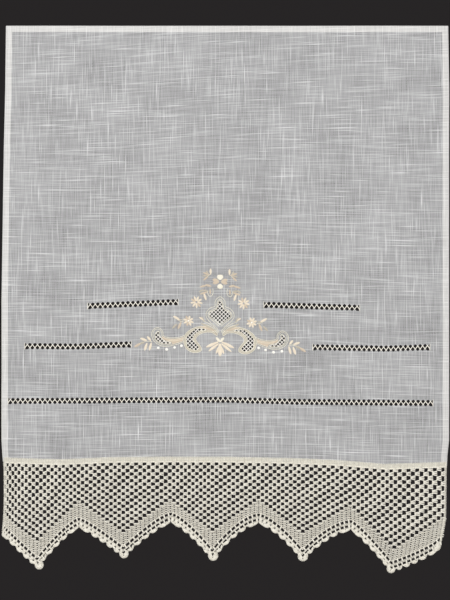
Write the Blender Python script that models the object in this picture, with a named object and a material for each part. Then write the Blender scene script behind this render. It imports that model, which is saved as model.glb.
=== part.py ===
"""Lace curtain: a sheer voile panel with narrow folded hems, and a crocheted border sewn along its foot.

The curtain hangs in the XZ plane with its front towards -Y. The origin is the middle of its top edge.
Lengths in the tables are millimetres: x runs across the curtain from its middle line, and depth runs
down from the top edge.
"""
import math

import bpy
from mathutils import Vector
from mathutils.geometry import delaunay_2d_cdt

MM = 0.001
SAME_POINT = 0.00001
LINE_CLEAR = 0.05

# Voile panel
CLOTH_THICK = 1.0
HEM_THICK = 1.7
HEM_WIDTH = 8.0
CLOTH_GRID = 26.0
FOOT_CLEAR = 22.0

# Crocheted border
SEAM_GAP = 0.3
HEADING_HIGH = 7.5
HEADING_THICK = 2.2
NET_THICK = 1.4
BAND_THICK = 2.0
STEP_RUN = 0.7
BORDER_GRID = 12.0
ROW_CLEAR = 1.5

# The net is cut at twice the pitch of the crocheted one, in columns that are staggered by half a hole
COLUMN_PITCH = 10.7
HOLE_PITCH = 18.6
HOLE_WIDE = 9.0
HOLE_HIGH = 12.0
HOLE_MARGIN = 2.2
END_BAR = 5.8
TIGHT_SHARE = 0.42
TIGHT_REACH = 22.0

# Shells of the scalloped edge: their places on a flank, as shares of the way from valley to tip
SHELL_PLACES = (0.14, 0.33, 0.50, 0.66, 0.82)
SHELL_NOTCH = 2.6
SHELL_SHOULDER = 0.3
VALLEY_SHARE = 0.12
TIP_NECK = 0.875
TIP_SEGMENTS = 8

# depth, left edge, right edge of the whole curtain
SIDES = (
    (0.0, -296.1, 300.4),
    (86.0, -297.1, 301.7),
    (167.0, -299.0, 301.5),
    (370.0, -302.1, 301.5),
    (465.0, -302.0, 301.6),
    (559.0, -302.7, 301.7),
    (580.0, -301.6, 299.6),
    (600.0, -300.2, 298.8),
    (640.0, -300.0, 298.4),
    (664.0, -301.0, 298.0),
    (686.0, -302.6, 293.8),
    (710.0, -302.6, 289.6),
)

# x, depth of the seam between panel and border
SEAM = (
    (-310.0, 582.3),
    (-223.4, 584.6),
    (-155.9, 581.9),
    (-74.9, 581.2),
    (-0.7, 581.2),
    (87.1, 583.2),
    (154.6, 585.9),
    (215.3, 590.9),
    (310.0, 588.0),
)

# x, depth of the scalloped edge, depth where the net ends, hollow of the flank that follows on the right.
# Rows are the turns of the zigzag from the left end to the right one, so every second row is a tip.
TURNS = (
    (-302.4, 688.5, 656.6, 1.00),
    (-254.1, 733.2, 692.3, 1.30),
    (-197.8, 679.1, 638.3, 1.20),
    (-138.0, 719.0, 681.3, 1.30),
    (-74.0, 672.3, 636.4, 1.38),
    (-18.0, 721.9, 679.2, 1.60),
    (44.8, 673.7, 636.4, 1.45),
    (104.0, 723.2, 682.3, 1.65),
    (169.4, 682.4, 644.1, 1.20),
    (223.5, 738.6, 703.2, 0.80),
    (289.6, 710.1, 661.0, 1.00),
)

# Soft vertical folds: x, half width, how far each stands forward at the top edge and at the foot
FOLDS = (
    (-232.0, 52.0, 1.5, 5.0),
    (-128.0, 46.0, -1.0, -4.5),
    (-22.0, 58.0, 0.0, 4.0),
    (96.0, 44.0, -1.5, -5.0),
    (205.0, 50.0, 1.5, 4.5),
)

# The border's ends turn back: slope at the edge and reach, then the depths where that starts and is full
LEFT_TURN = (0.75, 20.0)
RIGHT_TURN = (0.40, 16.0)
TURN_START = 470.0
TURN_FULL = 610.0


def along(rows, value, column):
    """Reads a table's column at a value of its first column, on straight lines between the rows."""
    for low, high in zip(rows, rows[1:]):
        if value <= high[0]:
            share = (value - low[0]) / (high[0] - low[0])
            return low[column] + (high[column] - low[column]) * max(share, 0.0)
    return rows[-1][column]


def left_edge(depth):
    return along(SIDES, depth, 1)


def right_edge(depth):
    return along(SIDES, depth, 2)


def seam(x):
    return along(SEAM, x, 1)


def net_end(x):
    return along(TURNS, x, 2)


def eased(share):
    share = min(max(share, 0.0), 1.0)
    return share * share * (3.0 - 2.0 * share)


def hang(x, depth):
    """How far the middle of the cloth stands behind the XZ plane."""
    drop = depth / TURNS[-2][1]
    forward = 0.0
    for middle, half_width, at_top, at_foot in FOLDS:
        height = at_top + (at_foot - at_top) * drop
        forward += height * math.exp(-(((x - middle) / half_width) ** 2))
    back = 0.0
    for (slope, reach), inside in (
        (LEFT_TURN, x - left_edge(depth)),
        (RIGHT_TURN, right_edge(depth) - x),
    ):
        back += slope * reach * math.exp(-max(inside, 0.0) / reach)
    return back * eased((depth - TURN_START) / (TURN_FULL - TURN_START)) - forward


def spaced(start, end, pitch):
    """Values from start to end, both included, about a pitch apart."""
    steps = max(round(abs(end - start) / pitch), 1)
    return [start + (end - start) * k / steps for k in range(steps + 1)]


def flank_point(valley, tip, hollow, phase):
    """A point of the scalloped edge. Phase counts shells from the valley, at -0.5, to the tip."""
    count = len(SHELL_PLACES)
    stops = ((-0.5, 0.0), *enumerate(SHELL_PLACES), (count - 0.5, TIP_NECK), (float(count), 1.0))
    share = along(stops, phase, 1)
    across = (phase + 0.5) % 1.0 - 0.5
    notch = SHELL_NOTCH * (1.0 - math.sqrt(1.0 - (2.0 * across) ** 2))
    run, drop = tip[0] - valley[0], tip[1] - valley[1]
    length = math.hypot(run, drop)
    inward = math.copysign(notch * drop / length, run) * min(share / VALLEY_SHARE, 1.0)
    return valley[0] + run * share + inward, valley[1] + drop * share**hollow - notch * abs(run) / length


def tip_arc(start, tip, end):
    """The round shell at a tip: points strictly inside the arc of a circle from start over tip to end."""
    (ax, ay), (bx, by), (cx, cy) = start, tip[:2], end
    twice = 2.0 * (ax * (by - cy) + bx * (cy - ay) + cx * (ay - by))
    a, b, c = (x * x + y * y for x, y in (start, tip[:2], end))
    middle_x = (a * (by - cy) + b * (cy - ay) + c * (ay - by)) / twice
    middle_y = (a * (cx - bx) + b * (ax - cx) + c * (bx - ax)) / twice
    radius = math.hypot(ax - middle_x, ay - middle_y)
    first = math.atan2(ay - middle_y, ax - middle_x)
    last = math.atan2(cy - middle_y, cx - middle_x)
    sweep = (last - first) % math.tau - math.tau
    angles = [first + sweep * k / TIP_SEGMENTS for k in range(1, TIP_SEGMENTS)]
    return [(middle_x + radius * math.cos(angle), middle_y + radius * math.sin(angle)) for angle in angles]


def scalloped_edge():
    """The border's lower edge from left to right: shells down and up the flanks of every point."""
    phases = []
    for k in range(len(SHELL_PLACES)):
        phases += [k - 0.5, k - SHELL_SHOULDER, float(k), k + SHELL_SHOULDER]
    phases.append(len(SHELL_PLACES) - 0.5)
    edge = []
    for left, tip, right in zip(TURNS[::2], TURNS[1::2], TURNS[2::2]):
        down = [flank_point(left, tip, left[3], phase) for phase in phases]
        up = [flank_point(right, tip, tip[3], phase) for phase in reversed(phases)]
        edge += down[1:] if edge else down
        edge += tip_arc(down[-1], tip, up[0]) + up
    return edge


def net_holes():
    """Six-sided holes in staggered columns, drawn together at the left end."""
    holes = []
    x = left_edge(TURN_FULL) + COLUMN_PITCH * (1.0 - TIGHT_SHARE)
    column = 0
    while x < right_edge(TURN_FULL) - END_BAR:
        inside = x - left_edge(TURN_FULL)
        ease = 1.0 - TIGHT_SHARE * math.exp(-inside / TIGHT_REACH)
        wide = HOLE_WIDE * ease / 2.0
        high = HOLE_HIGH / 2.0
        middle = seam(x) + HEADING_HIGH + HOLE_MARGIN + high
        middle += HOLE_PITCH / 2.0 * (column % 2)
        end = min(net_end(x - wide), net_end(x), net_end(x + wide))
        while middle + high / 2.0 + HOLE_MARGIN < end:
            corners = ((-wide, 0.0), (-wide / 2, -high), (wide / 2, -high))
            corners += ((wide, 0.0), (wide / 2, high), (-wide / 2, high))
            holes.append([(x + across, middle + down) for across, down in corners])
            middle += HOLE_PITCH
        column += 1
        x += COLUMN_PITCH * ease
    return holes


def sheet(name, outline, lines, holes, points, thick_at, material):
    """One closed solid: the flat outline is cut into triangles around its holes, then hung and thickened.

    lines are rows of points whose edges the triangles keep, and points are further free points.
    """
    flat = []
    edges = []
    faces = []
    for ring in (outline, *holes):
        faces.append(list(range(len(flat), len(flat) + len(ring))))
        flat += ring
    for line in lines:
        edges += [(len(flat) + k, len(flat) + k + 1) for k in range(len(line) - 1)]
        flat += line
    flat += points
    vectors = [Vector(point) for point in flat]
    cut, _, cut_faces, _, _, sources = delaunay_2d_cdt(vectors, edges, faces, 1, SAME_POINT)
    kept = [face for face, source in zip(cut_faces, sources) if list(source) == [0]]
    used = sorted({k for face in kept for k in face})
    place = {old: new for new, old in enumerate(used)}

    corners = []
    for side in (-0.5, 0.5):
        for k in used:
            x, depth = cut[k]
            y = hang(x, depth) + side * thick_at(x, depth)
            corners.append((x * MM, y * MM, -depth * MM))

    count = len(used)
    solid = []
    rim = []
    for face in kept:
        face = [place[k] for k in face]
        turn = sum(
            cut[used[a]].x * cut[used[b]].y - cut[used[b]].x * cut[used[a]].y
            for a, b in zip(face, face[1:] + face[:1])
        )
        if turn > 0:
            face.reverse()
        solid.append(tuple(face))
        solid.append(tuple(k + count for k in reversed(face)))
        rim += zip(face, face[1:] + face[:1])
    turned = {(b, a) for a, b in rim}
    for a, b in rim:
        if (a, b) not in turned:
            solid.append((b, a, a + count))
            solid.append((b, a + count, b + count))

    mesh = bpy.data.meshes.new(name)
    mesh.from_pydata(corners, [], solid)
    mesh.materials.append(material)
    bpy.context.collection.objects.link(bpy.data.objects.new(name, mesh))


def finish(name, color, roughness):
    material = bpy.data.materials.new(name)
    material.use_nodes = True
    shader = material.node_tree.nodes["Principled BSDF"]
    shader.inputs["Base Color"].default_value = (*color, 1.0)
    shader.inputs["Roughness"].default_value = roughness
    shader.inputs["Metallic"].default_value = 0.0
    return material


def make_panel():
    """The voile, with a folded hem down each side and along the top that is part of the cloth."""
    bottom_left = left_edge(SEAM[0][1])
    bottom_right = right_edge(SEAM[-1][1])
    top = [(x, 0.0) for x in spaced(left_edge(0.0), right_edge(0.0), CLOTH_GRID)]
    right = [(right_edge(depth), depth) for depth in spaced(0.0, seam(bottom_right), CLOTH_GRID)]
    foot = [(x, seam(x)) for x in spaced(bottom_right, bottom_left, CLOTH_GRID)]
    left = [(left_edge(depth), depth) for depth in spaced(seam(bottom_left), 0.0, CLOTH_GRID)]
    outline = top + right[1:] + foot[1:] + left[1:-1]

    lines = []
    for inset in (HEM_WIDTH, HEM_WIDTH + STEP_RUN):
        up = spaced(seam(bottom_left) - LINE_CLEAR, inset, CLOTH_GRID)
        across = spaced(left_edge(inset) + inset, right_edge(inset) - inset, CLOTH_GRID)
        down = spaced(inset, seam(bottom_right) - LINE_CLEAR, CLOTH_GRID)
        hem = [(left_edge(depth) + inset, depth) for depth in up]
        hem += [(x, inset) for x in across[1:-1]]
        hem += [(right_edge(depth) - inset, depth) for depth in down]
        lines.append(hem)

    points = []
    for depth in spaced(CLOTH_GRID, seam(0.0) - FOOT_CLEAR, CLOTH_GRID):
        first = left_edge(depth) + CLOTH_GRID
        last = right_edge(depth) - CLOTH_GRID
        points += [(x, depth) for x in spaced(first, last, CLOTH_GRID)]

    middle_of_step = HEM_WIDTH + STEP_RUN / 2.0

    def thick_at(x, depth):
        inset = min(x - left_edge(depth), right_edge(depth) - x, depth)
        return HEM_THICK if inset < middle_of_step else CLOTH_THICK

    sheet("panel", outline, lines, [], points, thick_at, finish("voile", (0.80, 0.80, 0.79), 0.9))


def make_border():
    """The crochet: a dense heading, an open net, and a dense zigzag band that ends in shells."""
    first = left_edge(SEAM[0][1] + SEAM_GAP)
    last = right_edge(SEAM[-1][1] + SEAM_GAP)
    top = [(x, seam(x) + SEAM_GAP) for x in spaced(first, last, BORDER_GRID)]
    edge = scalloped_edge()
    right = [(right_edge(depth), depth) for depth in spaced(top[-1][1], edge[-1][1], BORDER_GRID)]
    left = [(left_edge(depth), depth) for depth in spaced(edge[0][1], top[0][1], BORDER_GRID)]
    outline = top + right[1:-1] + edge[::-1] + left[1:-1]

    rows = []
    for below in (HEADING_HIGH, HEADING_HIGH + STEP_RUN):
        across = spaced(first + ROW_CLEAR, last - ROW_CLEAR, BORDER_GRID)
        rows.append([(x, seam(x) + below) for x in across])
    for below in (HOLE_MARGIN, HOLE_MARGIN + STEP_RUN):
        across = []
        for start, end in zip(TURNS, TURNS[1:]):
            across += spaced(start[0], end[0], BORDER_GRID)[:-1]
        row = [(x, net_end(x) + below) for x in across]
        rows.append([
            (x, depth)
            for x, depth in row
            if left_edge(depth) + ROW_CLEAR < x < right_edge(depth) - ROW_CLEAR
        ])

    def thick_at(x, depth):
        if depth < seam(x) + HEADING_HIGH + STEP_RUN / 2.0:
            return HEADING_THICK
        if depth < net_end(x) + HOLE_MARGIN + STEP_RUN / 2.0:
            return NET_THICK
        return BAND_THICK

    lace = finish("crochet", (0.75, 0.71, 0.62), 0.85)
    sheet("lace_border", outline, rows, net_holes(), [], thick_at, lace)


for old in list(bpy.data.objects):
    bpy.data.objects.remove(old, do_unlink=True)

make_panel()
make_border()
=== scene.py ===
import math

import bpy
import numpy as np
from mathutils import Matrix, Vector
from mathutils.geometry import delaunay_2d_cdt


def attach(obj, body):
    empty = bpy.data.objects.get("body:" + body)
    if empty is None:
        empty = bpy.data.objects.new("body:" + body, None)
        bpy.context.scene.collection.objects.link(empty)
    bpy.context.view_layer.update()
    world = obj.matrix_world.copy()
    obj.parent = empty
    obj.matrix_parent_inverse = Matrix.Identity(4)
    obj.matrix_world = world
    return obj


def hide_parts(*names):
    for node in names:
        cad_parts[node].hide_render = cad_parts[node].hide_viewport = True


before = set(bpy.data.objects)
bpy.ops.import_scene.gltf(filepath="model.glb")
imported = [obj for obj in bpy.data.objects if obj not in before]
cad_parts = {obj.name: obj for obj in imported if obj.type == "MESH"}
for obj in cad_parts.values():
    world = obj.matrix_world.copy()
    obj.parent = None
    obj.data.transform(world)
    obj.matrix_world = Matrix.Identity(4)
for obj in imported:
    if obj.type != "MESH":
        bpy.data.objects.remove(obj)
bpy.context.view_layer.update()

# Lengths below are millimetres: x across the curtain, depth down from its top edge, and y to the back.
mm = 0.001

# The hanging shape, as in the part's source, but with the edge's right end a little higher
cut = {
    # depth, left edge, right edge
    "sides": (
        (0.0, -296.1, 300.4), (86.0, -297.1, 301.7), (167.0, -299.0, 301.5), (370.0, -302.1, 301.5),
        (465.0, -302.0, 301.6), (559.0, -302.7, 301.7), (580.0, -301.6, 299.6), (600.0, -300.2, 298.8),
        (640.0, -300.0, 298.4), (664.0, -301.0, 298.0), (686.0, -302.6, 293.8), (710.0, -302.6, 289.6),
    ),
    # x, depth of the seam between voile and crochet
    "seam": (
        (-310.0, 582.3), (-223.4, 584.6), (-155.9, 581.9), (-74.9, 581.2), (-0.7, 581.2),
        (87.1, 583.2), (154.6, 585.9), (215.3, 590.9), (310.0, 588.0),
    ),
    # x, depth of the scalloped edge, depth of the net's last hole, hollow of the flank on the right
    "turns": (
        (-302.4, 688.5, 656.6, 1.00), (-254.1, 733.2, 692.3, 1.30), (-197.8, 679.1, 638.3, 1.20),
        (-138.0, 719.0, 681.3, 1.30), (-74.0, 672.3, 636.4, 1.38), (-18.0, 721.9, 679.2, 1.60),
        (44.8, 673.7, 636.4, 1.45), (104.0, 723.2, 682.3, 1.65), (169.4, 682.4, 644.1, 1.20),
        (223.5, 738.6, 703.2, 0.74), (289.6, 706.0, 661.0, 1.00),
    ),
    # x, half width, how far a soft fold stands forward at the top and at the foot
    "folds": (
        (-232.0, 52.0, 1.5, 5.0), (-128.0, 46.0, -1.0, -4.5), (-22.0, 58.0, 0.0, 4.0),
        (96.0, 44.0, -1.5, -5.0), (205.0, 50.0, 1.5, 4.5),
    ),
    "foldFoot": 738.6,
    "leftTurn": (0.75, 20.0),
    "rightTurn": (0.40, 16.0),
    "turnStart": 470.0,
    "turnFull": 610.0,
}
sideTable = np.array(cut["sides"])
seamTable = np.array(cut["seam"])
turnTable = np.array(cut["turns"])


def leftEdge(depth):
    return np.interp(depth, sideTable[:, 0], sideTable[:, 1])


def rightEdge(depth):
    return np.interp(depth, sideTable[:, 0], sideTable[:, 2])


def seam(x):
    return np.interp(x, seamTable[:, 0], seamTable[:, 1])


def eased(share):
    share = np.clip(share, 0.0, 1.0)
    return share * share * (3.0 - 2.0 * share)


def hang(x, depth):
    drop = depth / cut["foldFoot"]
    forward = np.zeros_like(x)
    for middle, halfWidth, atTop, atFoot in cut["folds"]:
        forward += (atTop + (atFoot - atTop) * drop) * np.exp(-(((x - middle) / halfWidth) ** 2))
    back = np.zeros_like(x)
    for (slope, reach), inside in (
        (cut["leftTurn"], x - leftEdge(depth)),
        (cut["rightTurn"], rightEdge(depth) - x),
    ):
        back += slope * reach * np.exp(-np.maximum(inside, 0.0) / reach)
    return back * eased((depth - cut["turnStart"]) / (cut["turnFull"] - cut["turnStart"])) - forward


def hung(points):
    # rows of x, y, depth in millimetres become places in the frame, on the curtain's folds
    points = np.asarray(points, dtype=float)
    y = points[:, 1] + hang(points[:, 0], points[:, 2])
    return np.column_stack((points[:, 0], y, -points[:, 2])) * mm


def linked(name, data):
    piece = bpy.data.objects.new(name, data)
    bpy.context.collection.objects.link(piece)
    return piece


def addNode(tree, kind, **settings):
    node = tree.nodes.new(kind)
    for name, value in settings.items():
        setattr(node, name, value)
    return node


def wire(tree, *pairs):
    for start, end in pairs:
        tree.links.new(start, end)


def newMaterial(name, roughness, sheen=0.0):
    material = bpy.data.materials.new(name)
    material.use_nodes = True
    shader = material.node_tree.nodes["Principled BSDF"]
    shader.inputs["Roughness"].default_value = roughness
    shader.inputs["Sheen Weight"].default_value = sheen
    shader.inputs["Specular IOR Level"].default_value = 0.25
    return material, material.node_tree, shader


def mathNode(tree, operation, first, second=None, clamp=False):
    node = addNode(tree, "ShaderNodeMath", operation=operation, use_clamp=clamp)
    for socket, value in zip(node.inputs, (first, second)):
        if value is None:
            continue
        if isinstance(value, (int, float)):
            socket.default_value = value
        else:
            tree.links.new(value, socket)
    return node.outputs[0]


def noiseNode(tree, vector, scale, detail=2.0, roughness=0.5):
    node = addNode(tree, "ShaderNodeTexNoise")
    node.inputs["Scale"].default_value = scale
    node.inputs["Detail"].default_value = detail
    node.inputs["Roughness"].default_value = roughness
    tree.links.new(vector, node.inputs["Vector"])
    return node.outputs["Fac"]


def stretched(tree, vector, scale):
    node = addNode(tree, "ShaderNodeMapping")
    node.inputs["Scale"].default_value = scale
    tree.links.new(vector, node.inputs["Vector"])
    return node.outputs["Vector"]


def ranged(tree, value, low, high, newLow, newHigh):
    node = addNode(tree, "ShaderNodeMapRange")
    for name, number in (("From Min", low), ("From Max", high), ("To Min", newLow), ("To Max", newHigh)):
        node.inputs[name].default_value = number
    tree.links.new(value, node.inputs["Value"])
    return node.outputs["Result"]


def colorRamp(tree, value, *stops):
    node = addNode(tree, "ShaderNodeValToRGB")
    while len(node.color_ramp.elements) < len(stops):
        node.color_ramp.elements.new(0.5)
    for element, (place, color) in zip(node.color_ramp.elements, stops):
        element.position = place
        element.color = (*color, 1.0)
    tree.links.new(value, node.inputs["Fac"])
    return node.outputs["Color"]


def bumped(tree, shader, height, strength, distance):
    node = addNode(tree, "ShaderNodeBump")
    node.inputs["Strength"].default_value = strength
    node.inputs["Distance"].default_value = distance
    wire(tree, (height, node.inputs["Height"]), (node.outputs["Normal"], shader.inputs["Normal"]))


voileLook = {
    "thread": (0.66, 0.66, 0.665),
    "hemThread": (0.64, 0.63, 0.615),
    "cover": 0.505,
    "cloudy": 0.05,
    "grain": 0.17,
    "slub": 0.48,
    "hem": 0.34,
    # streaks a metre along and across the weft, then the warp
    "weft": (20.0, 600.0),
    "warp": (640.0, 25.0),
    "thinWeft": (24.0, 1500.0),
    "thinWarp": (1500.0, 30.0),
    "shift": 9.0,
    # noise values between which a slub grows
    "weftSlub": (0.58, 0.80),
    "warpSlub": (0.59, 0.80),
    "cloudScale": 16.0,
    "bump": (0.3, 0.0004),
}


def makeVoileMaterial():
    # The UV map "weave" runs in metres along the weft (U) and the warp (V)
    look = voileLook
    material, tree, shader = newMaterial("slubVoile", 0.9, 0.15)
    weave = addNode(tree, "ShaderNodeUVMap", uv_map="weave").outputs["UV"]
    hem = addNode(tree, "ShaderNodeAttribute", attribute_name="hem").outputs["Fac"]

    def streaks(name, detail):
        # each thread's slubs start at a place of their own along it
        across, down = look[name]
        alongWeft = across < down
        acrossThreads = (0.0, down * 0.45, 0.0) if alongWeft else (across * 0.45, 0.0, 0.0)
        start = noiseNode(tree, stretched(tree, weave, acrossThreads), 1.0, 3.0)
        shift = addNode(tree, "ShaderNodeCombineXYZ")
        wire(tree, (mathNode(tree, "MULTIPLY", start, look["shift"]), shift.inputs[0 if alongWeft else 1]))
        place = addNode(tree, "ShaderNodeVectorMath", operation="ADD")
        wire(
            tree,
            (stretched(tree, weave, (across, down, 1.0)), place.inputs[0]),
            (shift.outputs[0], place.inputs[1]),
        )
        return noiseNode(tree, place.outputs[0], 1.0, detail, 0.55)

    weft, warp = streaks("weft", 1.5), streaks("warp", 1.5)
    thinWeft, thinWarp = streaks("thinWeft", 1.0), streaks("thinWarp", 1.0)
    weftSlub = ranged(tree, weft, *look["weftSlub"], 0.0, 1.0)
    warpSlub = ranged(tree, warp, *look["warpSlub"], 0.0, 1.0)
    slub = mathNode(tree, "MAXIMUM", weftSlub, warpSlub)
    thin = mathNode(tree, "ADD", thinWeft, thinWarp)
    both = mathNode(tree, "ADD", mathNode(tree, "ADD", weft, warp), thin)
    cover = ranged(tree, both, 1.5, 2.5, -look["grain"], look["grain"])
    cover = mathNode(tree, "ADD", cover, mathNode(tree, "MULTIPLY", slub, look["slub"]))
    cloud = noiseNode(tree, weave, look["cloudScale"])
    cover = mathNode(tree, "ADD", cover, ranged(tree, cloud, 0.3, 0.7, -look["cloudy"], look["cloudy"]))
    cover = mathNode(tree, "ADD", cover, look["cover"])
    cover = mathNode(tree, "ADD", cover, mathNode(tree, "MULTIPLY", hem, look["hem"]), clamp=True)
    mixed = addNode(tree, "ShaderNodeMix", data_type="RGBA")
    mixed.inputs["A"].default_value = (*look["thread"], 1.0)
    mixed.inputs["B"].default_value = (*look["hemThread"], 1.0)
    wire(
        tree,
        (hem, mixed.inputs["Factor"]),
        (mixed.outputs["Result"], shader.inputs["Base Color"]),
        (cover, shader.inputs["Alpha"]),
    )
    bumped(tree, shader, both, *look["bump"])
    return material


yarnLook = {
    "net": ((0.84, 0.81, 0.725), (0.73, 0.69, 0.60)),
    # the heading's copy of the cream yarn is a little lighter: painted light that makes up for the shade
    # its dense rows cast on themselves
    "heading": ((0.86, 0.83, 0.735), (0.74, 0.70, 0.60)),
    # the edge's copy of the cream yarn is darker: painted shade, standing in for the shade its flat shells
    # do not get
    "edge": ((0.79, 0.76, 0.675), (0.64, 0.605, 0.52)),
    "coarse": 260.0,
    "fibre": 2600.0,
    "bump": (0.5, 0.0003),
}


def makeYarnMaterial(name, bright, dim, roughness=0.85, sheen=0.25):
    material, tree, shader = newMaterial(name, roughness, sheen)
    place = addNode(tree, "ShaderNodeTexCoord").outputs["Object"]
    coarse = noiseNode(tree, place, yarnLook["coarse"], 3.0)
    fine = noiseNode(tree, place, yarnLook["fibre"])
    coarseShade = mathNode(tree, "MULTIPLY", coarse, 0.6)
    shade = mathNode(tree, "ADD", coarseShade, mathNode(tree, "MULTIPLY", fine, 0.4))
    color = colorRamp(tree, shade, (0.35, dim), (0.58, bright))
    wire(tree, (color, shader.inputs["Base Color"]))
    bumped(tree, shader, fine, *yarnLook["bump"])
    return material


def newTree(name, inputs):
    tree = bpy.data.node_groups.new(name, "GeometryNodeTree")
    tree.interface.new_socket("Geometry", in_out="INPUT", socket_type="NodeSocketGeometry")
    for label, kind, value in inputs:
        socket = tree.interface.new_socket(label, in_out="INPUT", socket_type=kind)
        if value is not None:
            socket.default_value = value
    tree.interface.new_socket("Geometry", in_out="OUTPUT", socket_type="NodeSocketGeometry")
    return tree, tree.nodes.new("NodeGroupInput"), tree.nodes.new("NodeGroupOutput")


def namedValue(tree, name, kind):
    node = addNode(tree, "GeometryNodeInputNamedAttribute", data_type=kind)
    node.inputs["Name"].default_value = name
    return node.outputs["Attribute"]


def endTree(tree, geometry, given, result):
    # each tree ends in real geometry in its given material
    real = addNode(tree, "GeometryNodeRealizeInstances")
    dressed = addNode(tree, "GeometryNodeSetMaterial")
    wire(
        tree,
        (geometry, real.inputs[0]),
        (real.outputs[0], dressed.inputs["Geometry"]),
        (given.outputs["Material"], dressed.inputs["Material"]),
        (dressed.outputs[0], result.inputs[0]),
    )
    return tree


def makeStitchTree():
    # One small stitch is repeated on points that carry its turn and size
    tree, given, result = newTree("stitchesOnPoints", (
        ("Stitch", "NodeSocketObject", None),
        ("Material", "NodeSocketMaterial", None),
        ("Unsteady Turn", "NodeSocketFloat", 0.05),
        ("Unsteady Size", "NodeSocketFloat", 0.08),
        ("Seed", "NodeSocketInt", 1),
    ))
    turn, size, seed = (given.outputs[name] for name in ("Unsteady Turn", "Unsteady Size", "Seed"))
    stitch = addNode(tree, "GeometryNodeObjectInfo")
    turnNoise = addNode(tree, "FunctionNodeRandomValue", data_type="FLOAT")
    sizeNoise = addNode(tree, "FunctionNodeRandomValue", data_type="FLOAT")
    turned = mathNode(tree, "ADD", namedValue(tree, "turn", "FLOAT"), turnNoise.outputs[1])
    euler = addNode(tree, "ShaderNodeCombineXYZ")
    rotation = addNode(tree, "FunctionNodeEulerToRotation")
    sized = addNode(tree, "ShaderNodeVectorMath", operation="SCALE")
    placed = addNode(tree, "GeometryNodeInstanceOnPoints")
    wire(
        tree,
        (given.outputs["Stitch"], stitch.inputs["Object"]),
        (mathNode(tree, "MULTIPLY", turn, -1.0), turnNoise.inputs[2]),
        (turn, turnNoise.inputs[3]),
        (seed, turnNoise.inputs["Seed"]),
        (mathNode(tree, "ADD", seed, 17.0), sizeNoise.inputs["Seed"]),
        (mathNode(tree, "SUBTRACT", 1.0, size), sizeNoise.inputs[2]),
        (mathNode(tree, "ADD", 1.0, size), sizeNoise.inputs[3]),
        (turned, euler.inputs["Y"]),
        (euler.outputs[0], rotation.inputs[0]),
        (namedValue(tree, "size", "FLOAT_VECTOR"), sized.inputs[0]),
        (sizeNoise.outputs[1], sized.inputs["Scale"]),
        (given.outputs["Geometry"], placed.inputs["Points"]),
        (stitch.outputs["Geometry"], placed.inputs["Instance"]),
        (rotation.outputs[0], placed.inputs["Rotation"]),
        (sized.outputs[0], placed.inputs["Scale"]),
    )
    return endTree(tree, placed.outputs[0], given, result)


def makeYarnTree():
    # A yarn follows each line of a wire mesh, as thick as its points say
    tree, given, result = newTree("yarnOnLines", (
        ("Sides", "NodeSocketInt", 6),
        ("Material", "NodeSocketMaterial", None),
    ))
    curve = addNode(tree, "GeometryNodeMeshToCurve")
    radius = addNode(tree, "GeometryNodeSetCurveRadius")
    profile = addNode(tree, "GeometryNodeCurvePrimitiveCircle")
    profile.inputs["Radius"].default_value = 1.0
    skin = addNode(tree, "GeometryNodeCurveToMesh")
    skin.inputs["Fill Caps"].default_value = True
    smooth = addNode(tree, "GeometryNodeSetShadeSmooth")
    thick = namedValue(tree, "thick", "FLOAT")
    scale = skin.inputs.get("Scale")
    wire(
        tree,
        (given.outputs["Geometry"], curve.inputs["Mesh"]),
        (curve.outputs[0], radius.inputs["Curve"]),
        (thick, radius.inputs["Radius"]),
        (given.outputs["Sides"], profile.inputs["Resolution"]),
        (radius.outputs[0], skin.inputs["Curve"]),
        (profile.outputs[0], skin.inputs["Profile Curve"]),
        (skin.outputs[0], smooth.inputs["Geometry"]),
    )
    if scale is not None:
        tree.links.new(thick, scale)
    return endTree(tree, smooth.outputs[0], given, result)


def grown(name, source, tree, values):
    # Runs a tree on a helper mesh and keeps its result as a plain mesh on the curtain's folds
    holder = linked(name + "_guide", source)
    modifier = holder.modifiers.new("grow", "NODES")
    modifier.node_group = tree
    for item in tree.interface.items_tree:
        if item.in_out == "INPUT" and item.name in values:
            modifier[item.identifier] = values[item.name]
    graph = bpy.context.evaluated_depsgraph_get()
    mesh = bpy.data.meshes.new_from_object(holder.evaluated_get(graph), depsgraph=graph)
    mesh.name = name
    bpy.data.objects.remove(holder, do_unlink=True)
    places = np.empty(len(mesh.vertices) * 3)
    mesh.vertices.foreach_get("co", places)
    places = hung(places.reshape(-1, 3))
    mesh.vertices.foreach_set("co", places.ravel())
    mesh.update()
    print(name, len(mesh.polygons), "faces")
    return linked(name, mesh)


def sheetPiece(name, places, faces, mapName, spots, material):
    # a smooth sheet on the curtain's folds, whose UV map holds a flat place in metres for each point
    mesh = bpy.data.meshes.new(name)
    mesh.from_pydata([tuple(p) for p in hung(places)], [], [tuple(int(k) for k in face) for face in faces])
    layer = mesh.uv_layers.new(name=mapName)
    corner = np.empty(len(mesh.loops), dtype=int)
    mesh.loops.foreach_get("vertex_index", corner)
    layer.data.foreach_set("uv", (np.array(spots)[corner] * mm).ravel())
    mesh.polygons.foreach_set("use_smooth", [True] * len(mesh.polygons))
    mesh.materials.append(material)
    return linked(name, mesh)


def guideMesh(name, points, edges=(), **values):
    mesh = bpy.data.meshes.new(name)
    mesh.from_pydata([tuple(point) for point in points], list(edges), [])
    for label, rows in values.items():
        rows = np.asarray(rows, dtype=float)
        kind = "FLOAT_VECTOR" if rows.ndim == 2 else "FLOAT"
        field = "vector" if rows.ndim == 2 else "value"
        mesh.attributes.new(label, kind, "POINT").data.foreach_set(field, rows.ravel())
    return mesh


def dressedPiece(piece, replaced=()):
    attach(piece, "root")
    if replaced:
        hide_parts(*replaced)
    return piece


# The depth axis points down in these flat lists, so a stitch turned by an angle in x and depth turns
# the other way about Y than it would in the frame; both trees work in x, y, depth.
stitchTree = makeStitchTree()
yarnTree = makeYarnTree()


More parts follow.
